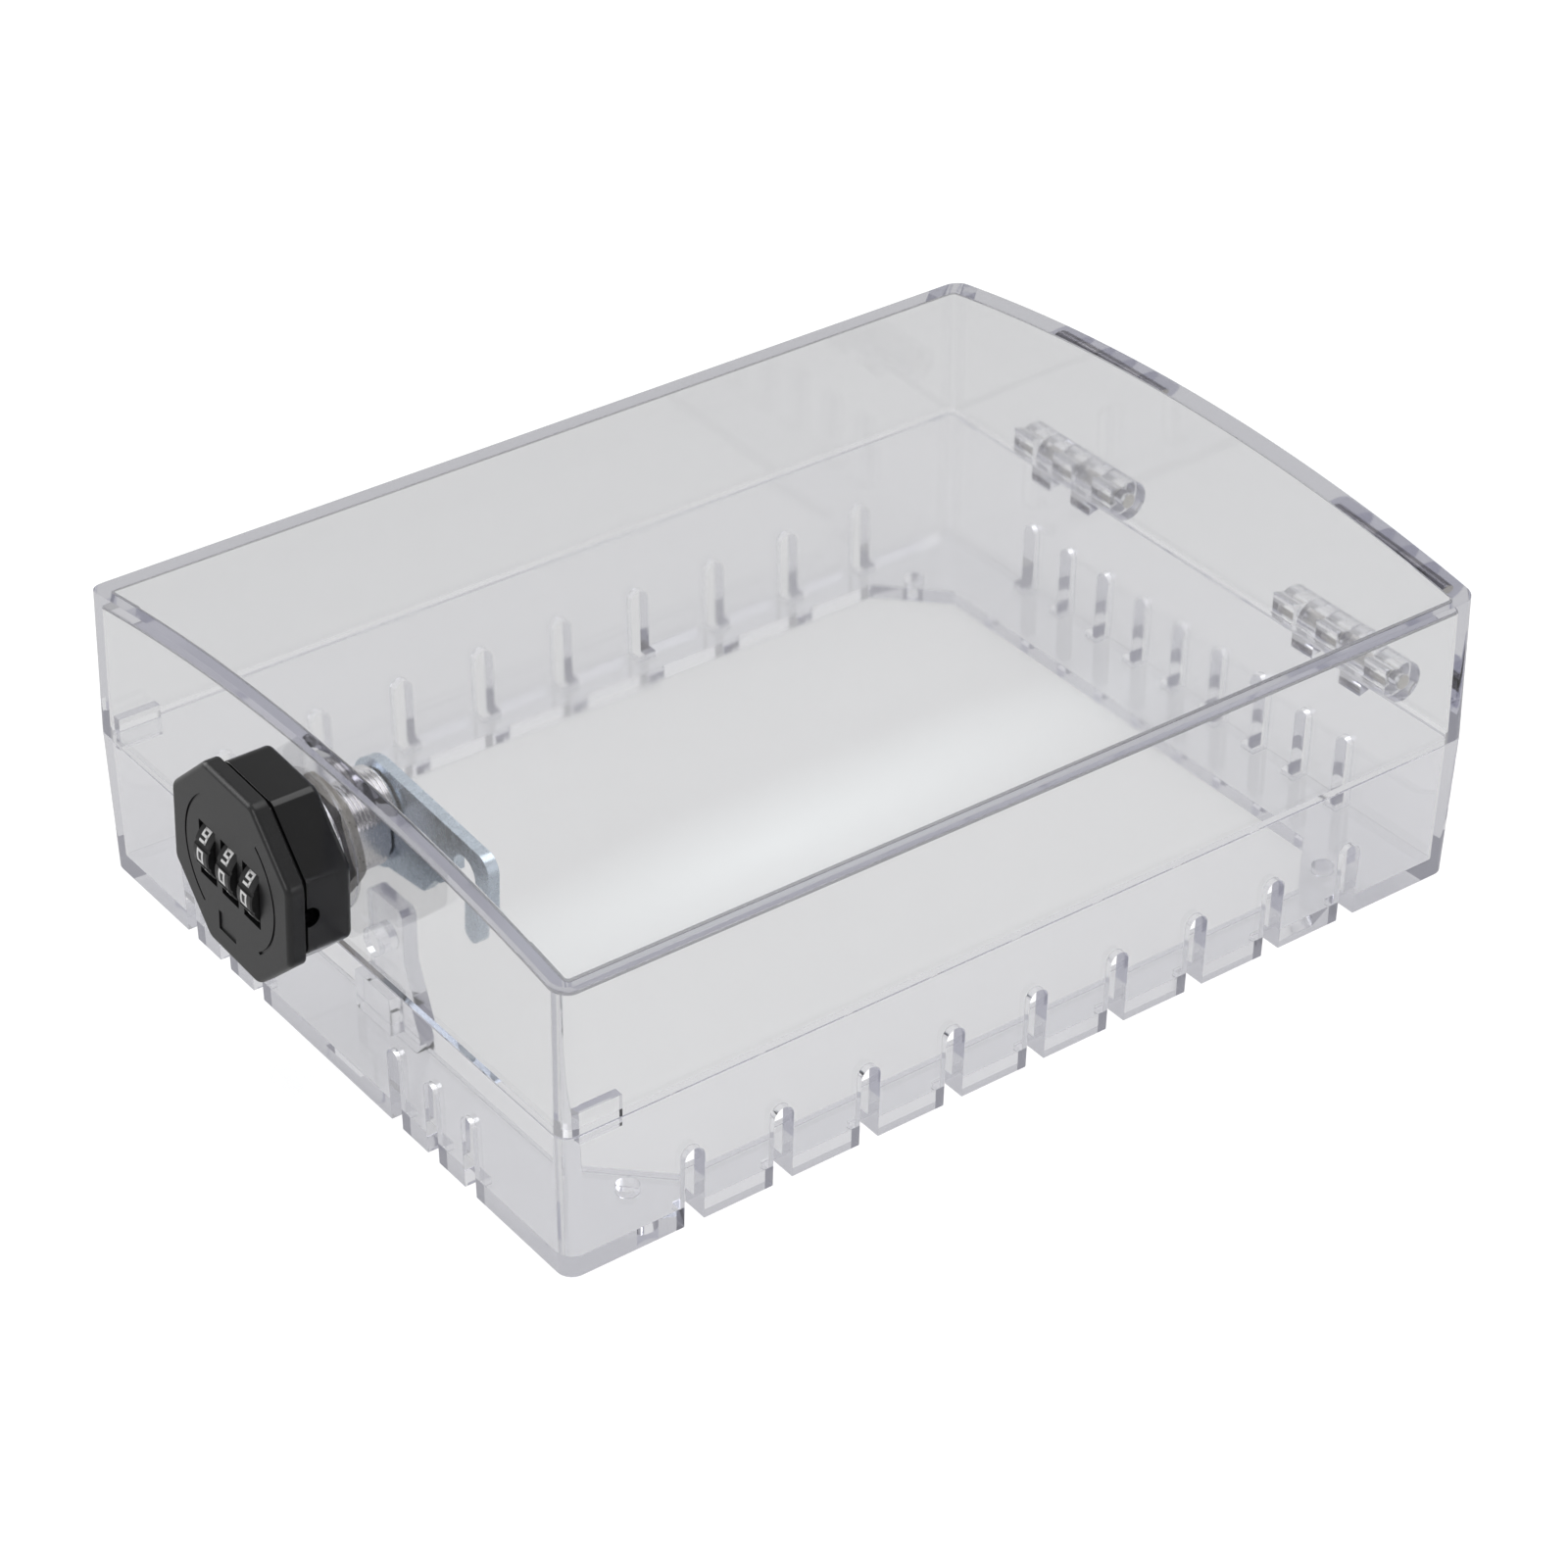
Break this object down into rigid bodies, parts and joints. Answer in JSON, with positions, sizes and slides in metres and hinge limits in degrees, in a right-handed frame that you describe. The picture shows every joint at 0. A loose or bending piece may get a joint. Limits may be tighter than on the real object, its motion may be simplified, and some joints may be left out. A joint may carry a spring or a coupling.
{
  "type": "thermostat lock box",
  "caption": "Clear arched wall guard for a thermostat: vented base frame, hinged cover, and a black combination cam lock with a hook cam.",
  "frame": {"origin": "centre of the four wall screw holes, on the back face of the base flange that rests on the wall", "axes": "+Z away from the wall, towards the crown of the cover; +X from the lock's wall to the hinges' wall; +Y along the hinge line"},
  "size_m": [0.2263, 0.15, 0.0664],
  "materials": {
    "clear_plastic": "clear polycarbonate, polished",
    "pin_steel": "drawn stainless steel",
    "barrel_plate": "bright zinc plate",
    "washer_nylon": "milky nylon",
    "nut_plate": "nickel plate on a cast nut",
    "cam_zinc": "bluish bright zinc plate on a stamping",
    "screw_steel": "zinc-plated steel",
    "knob_black": "gloss black lacquer on a zinc casting",
    "face_black": "satin black with a fine grain",
    "dial_black": "moulded black, printed numbers",
    "sleeve_brass": "turned brass",
    "inner_steel": "bright steel",
    "spring_steel": "spring wire"
  },
  "bodies": {
    "base": {"base_shell": "clear_plastic", "hinge_pin_1": "pin_steel", "hinge_pin_2": "pin_steel"},
    "cover": {"cover_shell": "clear_plastic", "lock_barrel": "barrel_plate", "nut_washer": "washer_nylon", "barrel_nut": "nut_plate"},
    "knob": {"knob_housing": "knob_black", "knob_face": "face_black", "face_screws": "screw_steel", "spindle": "barrel_plate", "spindle_screws": "screw_steel", "hook_cam": "cam_zinc", "cam_washer": "screw_steel", "cam_screw": "screw_steel", "detent_spring": "inner_steel", "reset_spring": "spring_steel", "bar_springs": "spring_steel"},
    "dial_1": {"dial_1": "dial_black"},
    "dial_2": {"dial_2": "dial_black"},
    "dial_3": {"dial_3": "dial_black"},
    "sleeve_1": {"sleeve_1": "sleeve_brass"},
    "sleeve_2": {"sleeve_2": "sleeve_brass"},
    "sleeve_3": {"sleeve_3": "sleeve_brass"},
    "reset": {"reset_axle": "inner_steel"},
    "bar": {"lock_bar": "inner_steel"}
  },
  "joints": [
    {"name": "cover_hinge", "type": "hinge", "parent": "base", "child": "cover", "pos_m": [0.1048, 0, 0.02995], "axis": [0, 1, 0], "range_deg": [0, 175]},
    {"name": "knob_turn", "type": "hinge", "parent": "cover", "child": "knob", "pos_m": [-0.1, 0, 0.0465], "axis": [1, 0, 0], "range_deg": [-3, 87]},
    {"name": "dial_turn_1", "type": "hinge", "parent": "knob", "child": "dial_1", "pos_m": [-0.1109, 0, 0.0465], "axis": [0, 0.9986, 0.0523], "continuous": true},
    {"name": "dial_turn_2", "type": "hinge", "parent": "knob", "child": "dial_2", "pos_m": [-0.1109, 0, 0.0465], "axis": [0, 0.9986, 0.0523], "continuous": true},
    {"name": "dial_turn_3", "type": "hinge", "parent": "knob", "child": "dial_3", "pos_m": [-0.1109, 0, 0.0465], "axis": [0, 0.9986, 0.0523], "continuous": true},
    {"name": "reset_push", "type": "slide", "parent": "knob", "child": "reset", "axis": [0, 0.9986, 0.0523], "range_m": [0, 0.0016], "stiffness_N_per_m": 200, "springref_m": -0.002, "deforming": ["reset_spring"]},
    {"name": "sleeve_slide_1", "type": "slide", "parent": "dial_1", "child": "sleeve_1", "axis": [0, 0.9986, 0.0523], "range_m": [0, 0.0016]},
    {"name": "sleeve_slide_2", "type": "slide", "parent": "dial_2", "child": "sleeve_2", "axis": [0, 0.9986, 0.0523], "range_m": [0, 0.0016]},
    {"name": "sleeve_slide_3", "type": "slide", "parent": "dial_3", "child": "sleeve_3", "axis": [0, 0.9986, 0.0523], "range_m": [0, 0.0016]},
    {"name": "bar_slide", "type": "slide", "parent": "knob", "child": "bar", "axis": [-1, 0, 0], "range_m": [-0.0009, 0.0009], "deforming": ["bar_springs"]}
  ],
  "couplings": [
    {"joint": "sleeve_slide_1", "follows": "reset_push", "ratio": 1},
    {"joint": "sleeve_slide_2", "follows": "reset_push", "ratio": 1},
    {"joint": "sleeve_slide_3", "follows": "reset_push", "ratio": 1}
  ]
}
